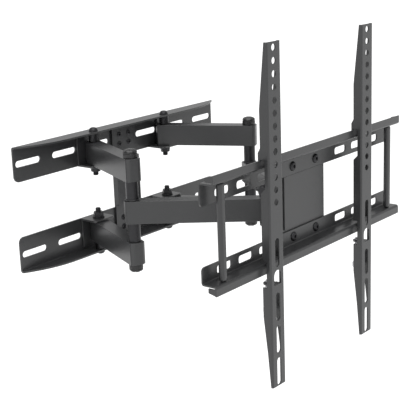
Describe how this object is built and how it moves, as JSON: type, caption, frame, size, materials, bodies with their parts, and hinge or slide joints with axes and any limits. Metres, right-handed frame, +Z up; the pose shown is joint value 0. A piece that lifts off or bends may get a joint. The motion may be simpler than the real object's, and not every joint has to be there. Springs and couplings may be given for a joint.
{
  "type": "full motion tv wall mount",
  "caption": "Folding TV wall mount: slotted wall frame, paired steel arms and forearms, tilting head and a TV frame with sliding slotted rails.",
  "frame": {"origin": "on the wall plane, at the centre of the outer wall slots", "axes": "+Y into the wall, +X to the right when facing the wall, +Z up; the TV side is -Y"},
  "size_m": [0.434, 0.3492, 0.43],
  "materials": {
    "powder_coated_steel": "satin charcoal powder coat with a fine texture",
    "black_plastic": "fine moulded texture",
    "black_hardware": "black zinc plated, satin",
    "zinc_steel": "bright zinc plated",
    "black_nylon": "smooth nylon",
    "stainless_screw": "bright zinc plated, turned"
  },
  "bodies": {
    "wall_frame": {"upper_wall_rail": "powder_coated_steel", "lower_wall_rail": "powder_coated_steel", "wall_centre_plate": "powder_coated_steel", "wall_plate_rivets": "black_hardware", "upper_left_hinge_bracket": "powder_coated_steel", "upper_right_hinge_bracket": "powder_coated_steel", "lower_left_hinge_bracket": "powder_coated_steel", "lower_right_hinge_bracket": "powder_coated_steel", "shoulder_bolts": "black_hardware", "shoulder_nuts": "black_hardware", "shoulder_bushes": "black_hardware"},
    "left_arm": {"upper_left_arm": "powder_coated_steel", "lower_left_arm": "powder_coated_steel", "left_arm_end_caps": "powder_coated_steel", "left_arm_sleeves": "zinc_steel", "left_elbow_bolt": "zinc_steel", "left_elbow_spacers": "powder_coated_steel", "left_elbow_washers": "black_nylon", "left_elbow_caps": "black_plastic"},
    "right_arm": {"upper_right_arm": "powder_coated_steel", "lower_right_arm": "powder_coated_steel", "right_arm_end_caps": "powder_coated_steel", "right_arm_sleeves": "zinc_steel", "right_elbow_bolt": "zinc_steel", "right_elbow_spacers": "powder_coated_steel", "right_elbow_washers": "black_nylon", "right_elbow_caps": "black_plastic"},
    "left_forearm": {"left_forearm": "powder_coated_steel", "left_forearm_end_caps": "powder_coated_steel", "left_forearm_sleeves": "zinc_steel"},
    "right_forearm": {"right_forearm": "powder_coated_steel", "right_forearm_end_caps": "powder_coated_steel", "right_forearm_sleeves": "zinc_steel"},
    "head": {"head_top_plate": "powder_coated_steel", "head_bottom_plate": "powder_coated_steel", "head_web": "powder_coated_steel", "left_head_ear": "powder_coated_steel", "right_head_ear": "powder_coated_steel", "head_pivot_bolts": "black_hardware", "head_pivot_nuts": "black_hardware", "head_pivot_washers": "black_nylon", "tilt_bolts": "black_hardware", "tilt_nuts": "black_hardware", "tilt_washers": "black_nylon"},
    "tv_frame": {"tilt_plate": "powder_coated_steel", "left_tilt_ear": "powder_coated_steel", "right_tilt_ear": "powder_coated_steel", "upper_tv_rail": "powder_coated_steel", "tv_rail_tongue": "powder_coated_steel", "lower_tv_rail": "powder_coated_steel", "left_side_bar": "powder_coated_steel", "right_side_bar": "powder_coated_steel", "frame_bolts": "black_hardware", "frame_nuts": "black_hardware"},
    "left_rail": {"left_slotted_rail": "powder_coated_steel"},
    "right_rail": {"right_slotted_rail": "powder_coated_steel"},
    "left_lock_screw": {"left_lock_screw": "stainless_screw"},
    "right_lock_screw": {"right_lock_screw": "stainless_screw"}
  },
  "joints": [
    {"name": "left_arm_swing", "type": "hinge", "parent": "wall_frame", "child": "left_arm", "pos_m": [-0.076, -0.0189, 0], "axis": [0, 0, 1], "range_deg": [-60, 6]},
    {"name": "left_elbow", "type": "hinge", "parent": "left_arm", "child": "left_forearm", "pos_m": [-0.13094, -0.13672, 0], "axis": [0, 0, 1], "range_deg": [-11, 109]},
    {"name": "left_head_pivot", "type": "hinge", "parent": "left_forearm", "child": "head", "pos_m": [-0.026, -0.28358, 0], "axis": [0, 0, 1], "range_deg": [-49, 5]},
    {"name": "right_arm_swing", "type": "hinge", "parent": "wall_frame", "child": "right_arm", "pos_m": [0.076, -0.0189, 0], "axis": [0, 0, 1], "range_deg": [-6, 60]},
    {"name": "right_elbow", "type": "hinge", "parent": "right_arm", "child": "right_forearm", "pos_m": [0.13094, -0.13672, 0], "axis": [0, 0, 1], "range_deg": [-109, 11]},
    {"name": "tilt", "type": "hinge", "parent": "head", "child": "tv_frame", "pos_m": [0, -0.29258, 0.029], "axis": [1, 0, 0], "range_deg": [-5, 15]},
    {"name": "left_rail_slide", "type": "slide", "parent": "tv_frame", "child": "left_rail", "axis": [-1, 0, 0], "range_m": [-0.058, 0.092]},
    {"name": "right_rail_slide", "type": "slide", "parent": "tv_frame", "child": "right_rail", "axis": [1, 0, 0], "range_m": [-0.058, 0.092]},
    {"name": "left_lock", "type": "slide", "parent": "left_rail", "child": "left_lock_screw", "axis": [0, 0, 1], "range_m": [0, 0.016]},
    {"name": "right_lock", "type": "slide", "parent": "right_rail", "child": "right_lock_screw", "axis": [0, 0, 1], "range_m": [0, 0.016]}
  ],
  "couplings": [
    {"joint": "left_elbow", "follows": "left_arm_swing", "ratio": -1.815},
    {"joint": "left_head_pivot", "follows": "left_arm_swing", "ratio": 0.815},
    {"joint": "right_arm_swing", "follows": "left_arm_swing", "ratio": -1},
    {"joint": "right_elbow", "follows": "left_arm_swing", "ratio": 1.815}
  ]
}
